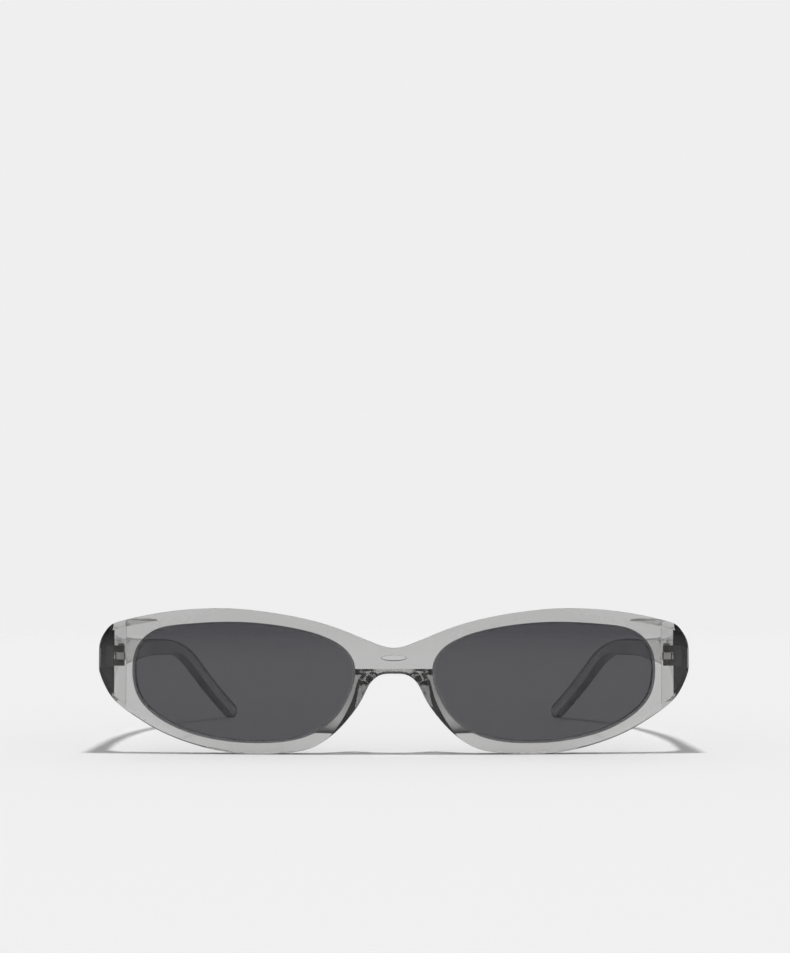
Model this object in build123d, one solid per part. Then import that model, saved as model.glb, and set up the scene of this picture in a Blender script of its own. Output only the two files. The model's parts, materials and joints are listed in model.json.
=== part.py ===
from build123d import *
import math
import os

# Narrow oval sunglasses of clear grey plastic, standing open on rim bottoms and temple ends.
# The front faces -Y, the wearer's left is +X, and the floor is Z = 0.
# Pieces are drawn with the front's foremost line at Y = 0, and moved to the middle at the end.

# Front, one moulding: overall size, thickness and bend about a vertical axis
front_width = 147.0
front_height = 35.95
front_thickness = 4.0
front_bend_radius = 530.0
outline_round = 0.3

# Lens openings: seen size, the gap between them and the rim below them
opening_width = 54.3
opening_height = 28.7
opening_gap = 20.2
rim_below = 3.3

# Lenses and the groove that holds them
lens_thickness = 1.8
lens_set_back = 1.1
groove_depth = 0.6
groove_clearance = 0.04

# Flat seat on the back of each end piece, where the temple butts
seat_width = 6.7
seat_inset = 0.06

# Nose pads on the back of the rims, and the rounded saddle that flares between them
pad_depth = 5.6
pad_inset = 0.45
pad_top = 20.9
saddle_start = 0.7
saddle_flare = 3.2
saddle_rise = 1.9

# Small oval recess in the front of the bridge
recess_width = 6.4
recess_height = 1.5
recess_depth = 0.6
recess_wall = 0.16
recess_level = 23.7

# Hinge: place of its axis, knuckles and screw
axis_inset = 5.3
axis_set_back = 1.55
hinge_level = 24.0
knuckle_radius = 0.95
knuckle_height = 1.65
knuckle_gap = 0.05
screw_radius = 0.45
screw_clearance = 0.05
screw_head_radius = 0.8
screw_head_height = 0.55
screw_slot_width = 0.3
screw_slot_depth = 0.25
sink_clearance = 0.03

# Tongue of the front hinge leaf, sunk in the end piece
tongue_width = 1.8
tongue_sink = 2.4
barb_reach = 0.35
barb_length = 0.8

# Plate of the temple hinge leaf, sunk in the temple
plate_thickness = 1.5
plate_length = 8.5
plate_cover = 0.45
plate_lead = 0.9
arm_width = 1.7

# Temples: plan, side profile and drop end
temple_gap = 0.15
temple_length = 129.9
temple_inset = 0.12
root_thickness = 3.6
arm_thickness = 2.9
tip_thickness = 2.8
straight_length = 30.0
root_zone = 42.0
tip_turn_in = 21.4
drop_angle = 32.0
drop_length = 28.0
drop_width = 4.6
tip_width = 4.3
temple_round = 0.7

# How far cutting and blank solids run past what they shape
overrun = 3.0

# Half outline of the front, as shares of half its width and of its height
top_inner_shares = [(0, 0.7275), (0.079, 0.771), (0.2, 0.87), (0.362, 0.953), (0.484, 0.988), (0.585, 1)]
top_outer_shares = [(0.585, 1), (0.729, 0.985), (0.853, 0.945), (0.92, 0.914), (0.9605, 0.882),
                    (0.983, 0.827), (0.996, 0.772), (1, 0.715)]
low_outer_shares = [(1, 0.595), (0.986, 0.495), (0.954, 0.384), (0.884, 0.268), (0.8, 0.166), (0.7, 0.082),
                    (0.585, 0.022), (0.455, 0)]
nose_shares = [(0.455, 0), (0.368, 0.0083), (0.288, 0.036), (0.214, 0.1185), (0.1475, 0.2555), (0.1025, 0.3925),
               (0.0745, 0.497), (0.042, 0.5435), (0, 0.5505)]

# Lens opening, as shares of its width and height, from its nasal side over the top
opening_shares = [(0, 0.584), (0.03, 0.748), (0.11, 0.854), (0.28, 0.949), (0.552, 1), (0.78, 0.978),
                  (0.92, 0.914), (0.985, 0.775), (1, 0.619), (0.972, 0.376), (0.9, 0.232),
                  (0.743, 0.084), (0.417, 0), (0.2, 0.067), (0.075, 0.238), (0.02, 0.423)]

# Facet creases on the front, as shares of half width and height, and how steeply the facet falls back
top_crease_shares = [(0.57, 0.972), (0.7, 0.944), (0.817, 0.907), (0.9, 0.876), (0.945, 0.853), (0.97, 0.82),
                     (0.985, 0.78), (0.996, 0.72)]
top_slope_shares = [-0.06, 0.05, 0.1, 0.12, 0.15, 0.25, 0.65, 1.1]
low_crease_shares = [(0.57, 0.099), (0.659, 0.131), (0.77, 0.204), (0.86, 0.286), (0.941, 0.388), (0.97, 0.47),
                     (0.988, 0.55)]
low_slope_shares = [-0.06, 0.05, 0.1, 0.13, 0.2, 0.4, 0.65]

# Back edge of the nose pads, as shares of their depth and of their top level
pad_back_shares = [(0, 1), (0.42, 0.984), (0.8, 0.935), (1, 0.83), (0.97, 0.7), (0.76, 0.52), (0.42, 0.36),
                   (-0.1, 0.2)]

# How the saddle's flare grows, as shares of its depth and of its full flare
flare_shares = [(0, 0), (0.2, 0.15), (0.4, 0.33), (0.6, 0.52), (0.8, 0.72), (1, 0.93), (1.15, 1.1)]

# Temple edges seen from the side, as shares of its length and of the front's height
temple_top_shares = [(0, 0.895), (0.12, 0.809), (0.27, 0.771), (0.45, 0.742), (0.62, 0.721)]
temple_low_shares = [(0, 0.378), (0.085, 0.488), (0.2, 0.56), (0.36, 0.587), (0.5, 0.605), (0.605, 0.596)]

# Places along the turned-in part of the temple where its inner face is drawn
turn_shares = [0.3, 0.65, 1]

# Points taken along an outline to draw it again further out
grown_points = 40

half_width = front_width / 2
half_gap = opening_gap / 2


def bend_depth(x):
    return front_bend_radius - math.sqrt(front_bend_radius ** 2 - x ** 2)


end_back = bend_depth(half_width) + front_thickness
pad_back = front_thickness + pad_depth
axis_x = half_width - axis_inset
axis_y = end_back + axis_set_back
root_y = end_back + temple_gap
tip_y = root_y + temple_length
temple_outer = half_width - temple_inset
temple_inner = temple_outer - root_thickness
hinge_height = 3 * knuckle_height + 2 * knuckle_gap
knuckle_levels = (-knuckle_height - knuckle_gap, knuckle_height + knuckle_gap)
screw_bore_radius = screw_radius + screw_clearance


def scaled(shares, width, height, x=0, y=0):
    return [(x + width * u, y + height * v) for u, v in shares]


def block(low, high):
    size = [b - a for a, b in zip(low, high)]
    return Pos(*low) * Box(*size, align=(Align.MIN, Align.MIN, Align.MIN))


def both_sides(solid):
    return solid + mirror(solid, about=Plane.YZ)


# Front

def outline_run(shares, tangents):
    return Spline(scaled(shares, half_width, front_height), tangents=tangents, tangent_scalars=(1, 1))


def front_outline():
    top_inner = outline_run(top_inner_shares, ((1, 0), (1, 0)))
    top_outer = outline_run(top_outer_shares, ((1, 0), (0, -1)))
    low_outer = outline_run(low_outer_shares, ((0, -1), (-1, 0)))
    nose = outline_run(nose_shares, ((-1, 0), (-1, 0)))
    half = top_inner + top_outer + Line(top_outer @ 1, low_outer @ 0) + low_outer + nose
    return make_face(half.edges() + mirror(half, about=Plane.YZ).edges())


def opening_outline(grow=0):
    edge = Spline(scaled(opening_shares, opening_width, opening_height, half_gap, rim_below), periodic=True)
    if grow:
        # The same outline moved out square to itself
        places = [i / grown_points for i in range(grown_points)]
        moved = [(edge @ p) + (edge % p).rotate(Axis.Z, 90) * grow for p in places]
        edge = Spline(moved, periodic=True)
    return make_face(edge)


def run_back(face, y_start, y_end):
    start = Pos(0, y_start, 0) * (Plane.XZ * face)
    return extrude(start, amount=y_end - y_start, dir=(0, 1, 0))


def bent_shell(outer_radius, thickness):
    height = front_height + 2 * overrun
    inner = Cylinder(outer_radius - thickness, height + overrun)
    return Pos(0, front_bend_radius, front_height / 2) * (Cylinder(outer_radius, height) - inner)


def facet_cutter(shares, slopes, side):
    # A ruled face from the crease to a line further out and further back, cleared forwards
    crease = Spline(scaled(shares, half_width, front_height))
    inner = []
    outer = []
    for i, slope in enumerate(slopes):
        place = crease @ (i / (len(slopes) - 1))
        edge = place + (crease % (i / (len(slopes) - 1))).rotate(Axis.Z, side * 90) * overrun
        inner.append((place.X, bend_depth(place.X), place.Y))
        outer.append((edge.X, bend_depth(edge.X) + slope * overrun, edge.Y))
    face = Face.make_surface_from_curves(Spline(inner).edge(), Spline(outer).edge())
    return extrude(face, amount=end_back + overrun, dir=(0, -1, 0))


def nose_curve(out, up):
    # The nose outline, grown in step with height: out at the sides and up at the bridge
    top = nose_shares[-1][1]
    side = nose_shares[-3][0]
    grown = []
    for u, v in nose_shares:
        out_share = v / top * min(1, u / side)
        grown.append((u + out_share * out / half_width, v + v / top * up / front_height))
    return scaled(grown, half_width, front_height)


def nose_section(depth_share, flare_share):
    y = saddle_start + depth_share * (pad_back - saddle_start)
    points = nose_curve(saddle_flare * flare_share, saddle_rise * flare_share)
    half = Spline(points, tangents=((-1, 0), (-1, 0)), tangent_scalars=(1, 1))
    x, z = points[0]
    under = Polyline((x, z), (x, -overrun), (-x, -overrun), (-x, z))
    edges = half.edges() + mirror(half, about=Plane.YZ).edges() + under.edges()
    return Pos(0, y, 0) * (Plane.XZ * make_face(edges))


def saddle_cut():
    # The gap for the nose flares towards the back in one rounded sweep
    return loft([nose_section(depth, flare) for depth, flare in flare_shares])


def nose_pad():
    edge = Spline(scaled(pad_back_shares, pad_depth, pad_top, front_thickness))
    high = edge @ 0
    low = edge @ 1
    corners = [low, (front_thickness / 2, low.Y), (front_thickness / 2, high.Y), high]
    profile = Plane.YZ * make_face(edge.edges() + Polyline(corners).edges())
    return extrude(profile, amount=opening_gap) - run_back(opening_outline(pad_inset), 0, pad_back + overrun)


def lens():
    shell = bent_shell(front_bend_radius - lens_set_back, lens_thickness)
    return run_back(opening_outline(groove_depth), 0, end_back) & shell


def lens_groove():
    front_radius = front_bend_radius - lens_set_back + groove_clearance
    shell = bent_shell(front_radius, lens_thickness + 2 * groove_clearance)
    return run_back(opening_outline(groove_depth + groove_clearance), 0, end_back) & shell


def wall_edges(solid):
    # Edges of the walls that run from front to back, without the ones where walls meet
    walls = [f for f in solid.faces() if abs(f.normal_at(f.center()).Y) < 0.01]
    edges = ShapeList([e for f in walls for e in f.edges()])
    return edges.filter_by(Axis.Y, reverse=True)


def front_plate():
    shell = bent_shell(front_bend_radius, front_thickness)
    plate = run_back(front_outline(), -overrun, pad_back) & shell
    plate = fillet(wall_edges(plate), outline_round)
    plate -= both_sides(facet_cutter(top_crease_shares, top_slope_shares, 1))
    plate -= both_sides(facet_cutter(low_crease_shares, low_slope_shares, -1))
    return plate


def inset_outline(inset):
    # The front's outline drawn a little smaller, about the hinge's level
    share = 1 - inset / half_width
    return Pos(0, hinge_level * (1 - share)) * scale(front_outline(), by=share)


def end_seat():
    low = (half_width - seat_width, end_back - front_thickness / 2, 0)
    return run_back(inset_outline(seat_inset), 0, pad_back) & block(low, (half_width, end_back, front_height))


def recess_oval(y):
    # The wall of the recess slopes in from the front
    run = recess_wall * y / recess_depth
    return Pos(0, y, recess_level) * (Plane.XZ * Ellipse(recess_width / 2 - run, recess_height / 2 - run))


def bridge_recess():
    return loft([recess_oval(-overrun), recess_oval(recess_depth)], ruled=True)


def front_frame():
    frame = front_plate() - both_sides(run_back(opening_outline(), -overrun, pad_back))
    frame += both_sides(end_seat())
    frame += both_sides(nose_pad())
    frame -= saddle_cut()
    frame -= both_sides(lens_groove())
    frame -= both_sides(front_leaf_tongue(sink_clearance))
    return frame - bridge_recess()


# Hinges

def at_axis(solid, level=0):
    return Pos(axis_x, axis_y, hinge_level + level) * solid


def knuckle(level):
    return at_axis(Cylinder(knuckle_radius, knuckle_height), level)


def screw_bore():
    return at_axis(Cylinder(screw_bore_radius, hinge_height + overrun))


def front_leaf_tongue(grow=0):
    # Arrow-shaped in plan, with barbs that hold it in the end piece
    half = tongue_width / 2
    tip = end_back - tongue_sink
    shoulder = tip + barb_length
    barb = half + barb_reach
    right = [(half, axis_y), (half, shoulder), (barb, shoulder), (half, tip)]
    corners = right + [(-x, y) for x, y in reversed(right)]
    plan = make_face(Polyline(corners, close=True))
    if grow:
        plan = offset(plan, amount=grow, kind=Kind.INTERSECTION)
    height = knuckle_height + 2 * grow
    return Pos(axis_x, 0, hinge_level - height / 2) * extrude(plan, amount=height)


def front_hinge_leaf():
    return front_leaf_tongue() + knuckle(0) - screw_bore()


def temple_leaf_plate(grow=0):
    # Plate sunk in the temple, with an arm to each of its two knuckles
    plate_x = temple_inner + plate_cover
    plate_y = axis_y - plate_lead
    half = hinge_height / 2 + grow
    low = (plate_x - grow, plate_y - grow, hinge_level - half)
    high = (plate_x + plate_thickness + grow, plate_y + plate_length + grow, hinge_level + half)
    plate = block(low, high)
    for level in knuckle_levels:
        base = hinge_level + level
        half = knuckle_height / 2 + grow
        reach = arm_width / 2 + grow
        plate += block((axis_x, axis_y - reach, base - half), (plate_x + grow, axis_y + reach, base + half))
    return plate


def temple_hinge_leaf():
    leaf = temple_leaf_plate()
    for level in knuckle_levels:
        leaf += knuckle(level)
    return leaf - screw_bore()


def hinge_screw():
    half = hinge_height / 2
    shank = at_axis(Cylinder(screw_radius, hinge_height))
    head = at_axis(Cylinder(screw_head_radius, screw_head_height), half + screw_head_height / 2)
    slot_level = half + screw_head_height - screw_slot_depth / 2
    slot = at_axis(Box(2 * screw_head_radius, screw_slot_width, screw_slot_depth), slot_level)
    return shank + head - slot


# Temples

def turn_in(y):
    # How far the temple's outer face has turned in at depth y, along one arc
    run = tip_y - root_y - straight_length
    radius = (run ** 2 + tip_turn_in ** 2) / (2 * tip_turn_in)
    along = max(y - root_y - straight_length, 0)
    return radius - math.sqrt(radius ** 2 - along ** 2)


def temple_plan():
    bend_y = root_y + straight_length
    end_y = tip_y + overrun
    outer_end = (temple_outer - turn_in(end_y), end_y)
    outer = Line((temple_outer, root_y), (temple_outer, bend_y))
    outer += TangentArc(outer @ 1, outer_end, tangent=(0, 1))
    inner_points = [(temple_inner, root_y), (temple_outer - arm_thickness, bend_y)]
    for share in turn_shares:
        y = bend_y + share * (end_y - bend_y)
        thickness = arm_thickness + share * (tip_thickness - arm_thickness)
        inner_points.append((temple_outer - turn_in(y) - thickness, y))
    inner = Spline(inner_points)
    ends = Line(outer_end, inner_points[-1]) + Line(inner_points[0], (temple_outer, root_y))
    return make_face(outer.edges() + inner.edges() + ends.edges())


def temple_side():
    angle = math.radians(drop_angle)
    along = Vector(math.cos(angle), -math.sin(angle))
    across = Vector(math.sin(angle), math.cos(angle))
    tip = Vector(tip_y - tip_width / 2, tip_width / 2)
    start = tip - along * drop_length
    top = Spline(scaled(temple_top_shares, temple_length, front_height, root_y)
                 + [start + across * (drop_width / 2)], tangents=((1, -0.5), along))
    low = Spline(scaled(temple_low_shares, temple_length, front_height, root_y)
                 + [start - across * (drop_width / 2)], tangents=((1, 0.6), along))
    top_tip = tip + across * (tip_width / 2)
    low_tip = tip - across * (tip_width / 2)
    edges = top.edges() + low.edges()
    edges += Line(top @ 1, top_tip).edges() + Line(low @ 1, low_tip).edges()
    edges += ThreePointArc(top_tip, tip + along * (tip_width / 2), low_tip).edges()
    edges += Line(top @ 0, low @ 0).edges()
    return make_face(edges)


def temple():
    blank = extrude(Plane.YZ * temple_side(), amount=front_width) & extrude(temple_plan(), amount=front_height)
    long_edges = blank.edges().filter_by(lambda e: e.center().Y > root_y + temple_gap)
    blank = fillet(long_edges, temple_round)
    # Beside the hinge the temple keeps to the outline of the end piece
    limit = run_back(inset_outline(temple_inset), root_y - overrun, root_y + root_zone + overrun)
    zone = block((0, root_y - overrun, -overrun), (front_width, root_y + root_zone, front_height + overrun))
    return blank - (zone - limit) - temple_leaf_plate(sink_clearance)


def place(solid, side):
    centred = Pos(0, -tip_y / 2, 0) * solid
    if side == "right":
        centred = mirror(centred, about=Plane.YZ)
    return centred


def main():
    os.makedirs("parts", exist_ok=True)
    export_step(place(front_frame(), "left"), "parts/front_frame.step")
    pieces = {"lens": lens, "temple": temple, "front_hinge_leaf": front_hinge_leaf,
              "temple_hinge_leaf": temple_hinge_leaf, "hinge_screw": hinge_screw}
    for name, make in pieces.items():
        solid = make()
        for side in ("right", "left"):
            export_step(place(solid, side), f"parts/{name}_{side}.step")



main()
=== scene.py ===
import json
import math

import bmesh
import bpy
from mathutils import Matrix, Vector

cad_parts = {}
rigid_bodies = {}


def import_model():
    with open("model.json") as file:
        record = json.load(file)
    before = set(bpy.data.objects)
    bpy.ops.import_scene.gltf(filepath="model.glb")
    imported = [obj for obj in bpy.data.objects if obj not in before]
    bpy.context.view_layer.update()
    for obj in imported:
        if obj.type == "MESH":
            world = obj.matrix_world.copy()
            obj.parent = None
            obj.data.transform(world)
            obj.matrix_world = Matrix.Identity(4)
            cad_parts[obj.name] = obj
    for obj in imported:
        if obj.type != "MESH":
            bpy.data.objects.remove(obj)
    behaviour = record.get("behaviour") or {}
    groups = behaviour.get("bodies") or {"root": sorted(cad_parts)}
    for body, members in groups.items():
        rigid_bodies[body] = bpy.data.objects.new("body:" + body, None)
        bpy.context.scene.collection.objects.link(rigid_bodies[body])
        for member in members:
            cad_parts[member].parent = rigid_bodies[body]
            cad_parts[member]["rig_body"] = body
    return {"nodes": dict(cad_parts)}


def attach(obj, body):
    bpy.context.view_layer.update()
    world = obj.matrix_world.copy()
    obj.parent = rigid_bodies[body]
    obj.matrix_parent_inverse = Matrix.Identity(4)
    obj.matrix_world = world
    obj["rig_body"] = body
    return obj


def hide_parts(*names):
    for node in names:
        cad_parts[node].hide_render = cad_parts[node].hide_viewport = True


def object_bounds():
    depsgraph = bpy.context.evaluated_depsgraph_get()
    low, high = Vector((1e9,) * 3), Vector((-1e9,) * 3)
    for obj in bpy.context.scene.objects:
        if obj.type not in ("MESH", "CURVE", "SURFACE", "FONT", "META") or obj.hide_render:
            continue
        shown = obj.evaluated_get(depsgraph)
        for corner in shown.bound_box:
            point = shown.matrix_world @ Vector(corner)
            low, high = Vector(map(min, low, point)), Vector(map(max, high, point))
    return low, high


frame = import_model()
cad_box = [list(corner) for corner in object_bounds()]

# Sizes of the view and the studio, in metres

front_y = cad_box[0][1]
camera_distance = 0.4855
camera_height = 0.0413
camera_side = 0.0003
focal_pixels = 1962
image_height = 953
horizon_drop = 110
backdrop_level = 0.863
ambient_level = 0.45
ceiling_level = 0.05
wall_top = (0.22, 0.5)
room_share = 0.35
room_turn = (-0.5, 0.0)
card_level = 0.03
card_inner = (0.6, 0.68)
card_outer = (0.965, 0.985)
lamp_height = 0.56
lamp_size = 0.07
lamp_power = 1.96
floor_radius = 1.6
floor_solid_radius = 0.45
floor_corners = 96
sensor_width = 36
nearest_seen = 0.01

# Tint of the plastics per metre, height of the mould's waviness, and the metals' grain

frame_density = 290
lens_density = 1560
frame_ripple = 0.000006
lens_ripple = 0.000002
leaf_grain = 900
screw_grain = 1800

# How the CAD triangles are joined, in metres and degrees

join_distance = 1e-7
front_crease_angle = 12
arm_crease_angle = 32


# Small helpers for node trees

def new_material(name):
    material = bpy.data.materials.new(name)
    material.use_nodes = True
    tree = material.node_tree
    surface = tree.nodes["Principled BSDF"]
    output = tree.nodes["Material Output"]
    return material, tree, surface, output


def node(tree, kind, **settings):
    made = tree.nodes.new(kind)
    for key, value in settings.items():
        setattr(made, key, value)
    return made


def link(tree, source, target):
    tree.links.new(source, target)


def group_socket(tree, name, direction, kind, value=None):
    socket = tree.interface.new_socket(name=name, in_out=direction, socket_type=kind)
    if value is not None:
        socket.default_value = value
    return socket


def moulded_gloss_group():
    # Polished plastic: faint waviness from the mould and small handling scuffs
    tree = bpy.data.node_groups.new("moulded_gloss", "ShaderNodeTree")
    group_socket(tree, "Ripple Scale", "INPUT", "NodeSocketFloat", 90.0)
    group_socket(tree, "Scuff Scale", "INPUT", "NodeSocketFloat", 700.0)
    group_socket(tree, "Low Roughness", "INPUT", "NodeSocketFloat", 0.02)
    group_socket(tree, "High Roughness", "INPUT", "NodeSocketFloat", 0.06)
    group_socket(tree, "Roughness", "OUTPUT", "NodeSocketFloat")
    group_socket(tree, "Height", "OUTPUT", "NodeSocketFloat")
    inputs = node(tree, "NodeGroupInput")
    outputs = node(tree, "NodeGroupOutput")
    coordinates = node(tree, "ShaderNodeTexCoord")
    ripple = node(tree, "ShaderNodeTexNoise")
    ripple.inputs["Detail"].default_value = 1.0
    scuff = node(tree, "ShaderNodeTexNoise")
    scuff.inputs["Detail"].default_value = 3.0
    spread = node(tree, "ShaderNodeMapRange")
    spread.inputs["From Min"].default_value = 0.45
    spread.inputs["From Max"].default_value = 0.75
    link(tree, coordinates.outputs["Object"], ripple.inputs["Vector"])
    link(tree, coordinates.outputs["Object"], scuff.inputs["Vector"])
    link(tree, inputs.outputs["Ripple Scale"], ripple.inputs["Scale"])
    link(tree, inputs.outputs["Scuff Scale"], scuff.inputs["Scale"])
    link(tree, scuff.outputs["Fac"], spread.inputs["Value"])
    link(tree, inputs.outputs["Low Roughness"], spread.inputs["To Min"])
    link(tree, inputs.outputs["High Roughness"], spread.inputs["To Max"])
    link(tree, spread.outputs["Result"], outputs.inputs["Roughness"])
    link(tree, ripple.outputs["Fac"], outputs.inputs["Height"])
    return tree


def clear_plastic(name, gloss, density, colour, ripple_height, scuff_levels):
    material, tree, surface, output = new_material(name)
    surface.inputs["Base Color"].default_value = (1, 1, 1, 1)
    surface.inputs["Transmission Weight"].default_value = 1.0
    surface.inputs["IOR"].default_value = 1.49
    finish = node(tree, "ShaderNodeGroup", node_tree=gloss)
    finish.inputs["Low Roughness"].default_value = scuff_levels[0]
    finish.inputs["High Roughness"].default_value = scuff_levels[1]
    bump = node(tree, "ShaderNodeBump")
    bump.inputs["Strength"].default_value = 1.0
    bump.inputs["Distance"].default_value = ripple_height
    link(tree, finish.outputs["Roughness"], surface.inputs["Roughness"])
    link(tree, finish.outputs["Height"], bump.inputs["Height"])
    link(tree, bump.outputs["Normal"], surface.inputs["Normal"])
    tint = node(tree, "ShaderNodeVolumeAbsorption")
    tint.inputs["Color"].default_value = (*colour, 1)
    tint.inputs["Density"].default_value = density
    link(tree, tint.outputs["Volume"], output.inputs["Volume"])
    return material


def hinge_metal(name, colour, grain_scale):
    material, tree, surface, output = new_material(name)
    surface.inputs["Metallic"].default_value = 1.0
    coordinates = node(tree, "ShaderNodeTexCoord")
    stretch = node(tree, "ShaderNodeMapping")
    stretch.inputs["Scale"].default_value = (1, 6, 1)
    grain = node(tree, "ShaderNodeTexNoise")
    grain.inputs["Scale"].default_value = grain_scale
    grain.inputs["Detail"].default_value = 4.0
    shade = node(tree, "ShaderNodeMix", data_type="RGBA")
    shade.inputs["A"].default_value = (*[0.55 * channel for channel in colour], 1)
    shade.inputs["B"].default_value = (*colour, 1)
    rough = node(tree, "ShaderNodeMapRange")
    rough.inputs["To Min"].default_value = 0.25
    rough.inputs["To Max"].default_value = 0.5
    link(tree, coordinates.outputs["Object"], stretch.inputs["Vector"])
    link(tree, stretch.outputs["Vector"], grain.inputs["Vector"])
    link(tree, grain.outputs["Fac"], shade.inputs["Factor"])
    link(tree, shade.outputs["Result"], surface.inputs["Base Color"])
    link(tree, grain.outputs["Fac"], rough.inputs["Value"])
    link(tree, rough.outputs["Result"], surface.inputs["Roughness"])
    return material


def give(material, name):
    piece = frame["nodes"][name]
    piece.data.materials.clear()
    piece.data.materials.append(material)


def polished(material, name, crease_angle):
    # The CAD piece once more with its triangles joined, so that its curved faces shine evenly
    cad = frame["nodes"][name]
    shape = bmesh.new()
    shape.from_mesh(cad.data)
    bmesh.ops.remove_doubles(shape, verts=shape.verts, dist=join_distance)
    for edge in shape.edges:
        edge.smooth = edge.calc_face_angle(math.pi) < math.radians(crease_angle)
    for face in shape.faces:
        face.smooth = True
        face.material_index = 0
    mesh = bpy.data.meshes.new(f"{name}_polished")
    shape.to_mesh(mesh)
    shape.free()
    piece = bpy.data.objects.new(f"{name}_polished", mesh)
    bpy.context.scene.collection.objects.link(piece)
    even = piece.modifiers.new("even_shine", "WEIGHTED_NORMAL")
    even.keep_sharp = True
    mesh.materials.append(material)
    bpy.context.view_layer.update()
    finished = piece.evaluated_get(bpy.context.evaluated_depsgraph_get())
    piece.data = bpy.data.meshes.new_from_object(finished)
    piece.modifiers.clear()
    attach(piece, cad["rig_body"])
    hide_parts(name)
    return piece


# Finishes

gloss = moulded_gloss_group()
frame_plastic = clear_plastic("clear_grey_plastic", gloss, frame_density, (0.5, 0.492, 0.488),
                              frame_ripple, (0.01, 0.04))
lens_plastic = clear_plastic("dark_lens_tint", gloss, lens_density, (0.1, 0.1, 0.135),
                             lens_ripple, (0.0, 0.02))
# Painted highlight: the front hinge leaves are painted near-white for the bright glint their plate
# shows.
front_leaf_metal_painted_highlight = hinge_metal("hinge_metal_painted_highlight", (0.95, 0.93, 0.88), leaf_grain)
# Painted shade: the temple hinge leaves are painted near-black for the shadow their knuckles sit in.
temple_leaf_metal_painted_shade = hinge_metal("hinge_metal_painted_shade", (0.12, 0.115, 0.105), leaf_grain)
screw_steel = hinge_metal("screw_steel", (0.5, 0.5, 0.5), screw_grain)

for side in ("right", "left"):
    polished(lens_plastic, f"lens_{side}", front_crease_angle)
    polished(frame_plastic, f"temple_{side}", arm_crease_angle)
    give(front_leaf_metal_painted_highlight, f"front_hinge_leaf_{side}")
    give(temple_leaf_metal_painted_shade, f"temple_hinge_leaf_{side}")
    give(screw_steel, f"hinge_screw_{side}")
polished(frame_plastic, "front_frame", front_crease_angle)


# Floor, light and camera

def floor_disc():
    mesh = bpy.data.meshes.new("floor")
    turns = [2 * math.pi * corner / floor_corners for corner in range(floor_corners)]
    ring = [(floor_radius * math.cos(turn), floor_radius * math.sin(turn), 0) for turn in turns]
    mesh.from_pydata(ring, [], [list(range(floor_corners))])
    disc = bpy.data.objects.new("floor", mesh)
    disc.location = (0, front_y, 0)
    bpy.context.scene.collection.objects.link(disc)
    material, tree, surface, output = new_material("paper_floor")
    surface.inputs["Roughness"].default_value = 0.9
    surface.inputs["Specular IOR Level"].default_value = 0.0
    coordinates = node(tree, "ShaderNodeTexCoord")
    away = node(tree, "ShaderNodeVectorMath", operation="LENGTH")
    fade = node(tree, "ShaderNodeMapRange", interpolation_type="SMOOTHSTEP")
    fade.inputs["From Min"].default_value = floor_solid_radius
    fade.inputs["From Max"].default_value = floor_radius
    fade.inputs["To Min"].default_value = 1.0
    fade.inputs["To Max"].default_value = 0.0
    link(tree, coordinates.outputs["Object"], away.inputs[0])
    link(tree, away.outputs["Value"], fade.inputs["Value"])
    link(tree, fade.outputs["Result"], surface.inputs["Alpha"])
    shade, shortfall = even_paper(tree, away.outputs["Value"])
    surface.inputs["Emission Color"].default_value = (1, 1, 1, 1)
    link(tree, shade, surface.inputs["Base Color"])
    link(tree, shortfall, surface.inputs["Emission Strength"])
    mesh.materials.append(material)


def even_paper(tree, away):
    # The lamp's light falls off outwards, and the paper is paler there by as much. Where white paper
    # is still too dark, it glows by what is missing.
    squared = node(tree, "ShaderNodeMath", operation="MULTIPLY")
    reach = node(tree, "ShaderNodeMath", operation="ADD")
    reach.inputs[1].default_value = lamp_height ** 2
    nearness = node(tree, "ShaderNodeMath", operation="DIVIDE")
    nearness.inputs[0].default_value = lamp_height ** 2
    falloff = node(tree, "ShaderNodeMath", operation="POWER")
    falloff.inputs[1].default_value = 2.0
    light = node(tree, "ShaderNodeMath", operation="MULTIPLY_ADD")
    light.inputs[1].default_value = lamp_power / (math.pi * lamp_height) ** 2
    light.inputs[2].default_value = ambient_level
    shade = node(tree, "ShaderNodeMath", operation="DIVIDE", use_clamp=True)
    shade.inputs[0].default_value = backdrop_level
    shortfall = node(tree, "ShaderNodeMath", operation="SUBTRACT", use_clamp=True)
    shortfall.inputs[0].default_value = backdrop_level
    link(tree, away, squared.inputs[0])
    link(tree, away, squared.inputs[1])
    link(tree, squared.outputs["Value"], reach.inputs[0])
    link(tree, reach.outputs["Value"], nearness.inputs[1])
    link(tree, nearness.outputs["Value"], falloff.inputs[0])
    link(tree, falloff.outputs["Value"], light.inputs[0])
    link(tree, light.outputs["Value"], shade.inputs[1])
    link(tree, light.outputs["Value"], shortfall.inputs[1])
    return shade.outputs["Value"], shortfall.outputs["Value"]


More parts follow.
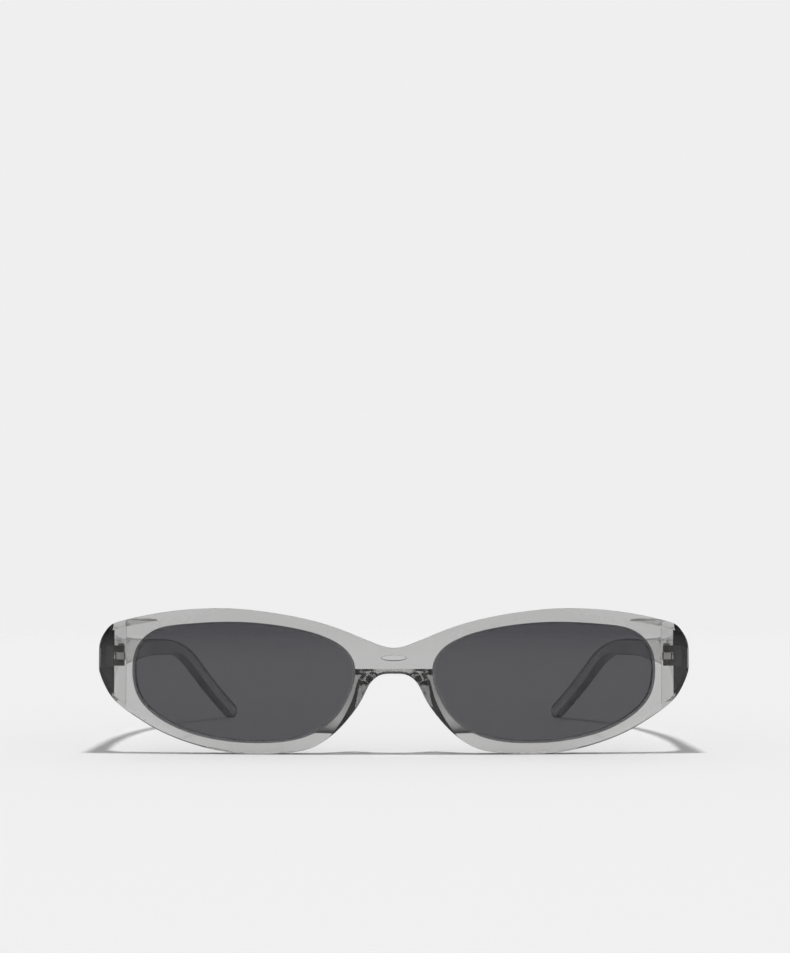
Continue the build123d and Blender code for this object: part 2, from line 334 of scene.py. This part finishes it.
def side_cards(tree, split, path):
    # Dark cards on both sides of the paper behind darken the edges of clear pieces. Only light that was
    # turned inside a clear piece meets them, so what is seen straight through it stays pale.
    aside = node(tree, "ShaderNodeMath", operation="ABSOLUTE")
    inner = node(tree, "ShaderNodeMapRange", interpolation_type="SMOOTHSTEP")
    inner.inputs["From Min"].default_value = card_inner[0]
    inner.inputs["From Max"].default_value = card_inner[1]
    outer = node(tree, "ShaderNodeMapRange", interpolation_type="SMOOTHSTEP")
    outer.inputs["From Min"].default_value = card_outer[0]
    outer.inputs["From Max"].default_value = card_outer[1]
    outer.inputs["To Min"].default_value = 1.0
    outer.inputs["To Max"].default_value = 0.0
    behind = node(tree, "ShaderNodeMath", operation="GREATER_THAN")
    behind.inputs[1].default_value = 0.0
    turns = node(tree, "ShaderNodeMath", operation="MINIMUM")
    turned = node(tree, "ShaderNodeMath", operation="GREATER_THAN")
    turned.inputs[1].default_value = 0.5
    width = node(tree, "ShaderNodeMath", operation="MULTIPLY")
    reach = node(tree, "ShaderNodeMath", operation="MULTIPLY")
    card = node(tree, "ShaderNodeMath", operation="MULTIPLY")
    link(tree, split.outputs["X"], aside.inputs[0])
    link(tree, aside.outputs["Value"], inner.inputs["Value"])
    link(tree, aside.outputs["Value"], outer.inputs["Value"])
    link(tree, split.outputs["Y"], behind.inputs[0])
    link(tree, inner.outputs["Result"], width.inputs[0])
    link(tree, outer.outputs["Result"], width.inputs[1])
    link(tree, path.outputs["Glossy Depth"], turns.inputs[0])
    link(tree, path.outputs["Transmission Depth"], turns.inputs[1])
    link(tree, turns.outputs["Value"], turned.inputs[0])
    link(tree, width.outputs["Value"], reach.inputs[0])
    link(tree, behind.outputs["Value"], reach.inputs[1])
    link(tree, reach.outputs["Value"], card.inputs[0])
    link(tree, turned.outputs["Value"], card.inputs[1])
    return card.outputs["Value"]


def studio_world():
    # Pale paper all round under a dark ceiling. Only reflections see the dimmer room before the
    # front, and only light turned inside a clear piece sees the dark cards.
    world = bpy.data.worlds.new("studio")
    bpy.context.scene.world = world
    world.use_nodes = True
    tree = world.node_tree
    background = tree.nodes["Background"]
    background.inputs["Color"].default_value = (1, 1, 1, 1)
    coordinates = node(tree, "ShaderNodeTexCoord")
    split = node(tree, "ShaderNodeSeparateXYZ")
    wall = node(tree, "ShaderNodeMapRange", interpolation_type="SMOOTHSTEP")
    wall.inputs["From Min"].default_value = wall_top[0]
    wall.inputs["From Max"].default_value = wall_top[1]
    wall.inputs["To Min"].default_value = backdrop_level
    wall.inputs["To Max"].default_value = ceiling_level
    room = node(tree, "ShaderNodeMapRange", interpolation_type="SMOOTHSTEP")
    room.inputs["From Min"].default_value = room_turn[0]
    room.inputs["From Max"].default_value = room_turn[1]
    room.inputs["To Min"].default_value = room_share
    room.inputs["To Max"].default_value = 1.0
    paper = node(tree, "ShaderNodeMix", data_type="FLOAT")
    paper.inputs["B"].default_value = card_level
    mirrored = node(tree, "ShaderNodeMath", operation="MULTIPLY")
    path = node(tree, "ShaderNodeLightPath")
    shiny = node(tree, "ShaderNodeMix", data_type="FLOAT")
    soft = node(tree, "ShaderNodeMix", data_type="FLOAT")
    soft.inputs["B"].default_value = ambient_level
    seen = node(tree, "ShaderNodeMix", data_type="FLOAT")
    seen.inputs["B"].default_value = backdrop_level
    link(tree, coordinates.outputs["Generated"], split.inputs["Vector"])
    link(tree, split.outputs["Z"], wall.inputs["Value"])
    link(tree, split.outputs["Y"], room.inputs["Value"])
    link(tree, side_cards(tree, split, path), paper.inputs["Factor"])
    link(tree, wall.outputs["Result"], paper.inputs["A"])
    link(tree, paper.outputs["Result"], mirrored.inputs[0])
    link(tree, room.outputs["Result"], mirrored.inputs[1])
    link(tree, path.outputs["Is Glossy Ray"], shiny.inputs["Factor"])
    link(tree, paper.outputs["Result"], shiny.inputs["A"])
    link(tree, mirrored.outputs["Value"], shiny.inputs["B"])
    link(tree, path.outputs["Is Diffuse Ray"], soft.inputs["Factor"])
    link(tree, shiny.outputs["Result"], soft.inputs["A"])
    link(tree, path.outputs["Is Camera Ray"], seen.inputs["Factor"])
    link(tree, soft.outputs["Result"], seen.inputs["A"])
    link(tree, seen.outputs["Result"], background.inputs["Strength"])


def overhead_lamp():
    lamp = bpy.data.lights.new("overhead_lamp", "AREA")
    lamp.shape = "DISK"
    lamp.size = lamp_size
    lamp.energy = lamp_power
    holder = bpy.data.objects.new("overhead_lamp", lamp)
    holder.location = (0, front_y, lamp_height)
    bpy.context.scene.collection.objects.link(holder)


def photo_camera():
    camera = bpy.data.cameras.new("camera")
    camera.sensor_width = sensor_width
    camera.lens = focal_pixels * sensor_width / image_height
    camera.clip_start = nearest_seen
    holder = bpy.data.objects.new("camera", camera)
    holder.location = (camera_side, front_y - camera_distance, camera_height)
    holder.rotation_euler = (math.pi / 2 + math.atan(horizon_drop / focal_pixels), 0, 0)
    bpy.context.scene.collection.objects.link(holder)
    bpy.context.scene.camera = holder


floor_disc()
studio_world()
overhead_lamp()
photo_camera()
bpy.context.scene.view_settings.view_transform = "Standard"
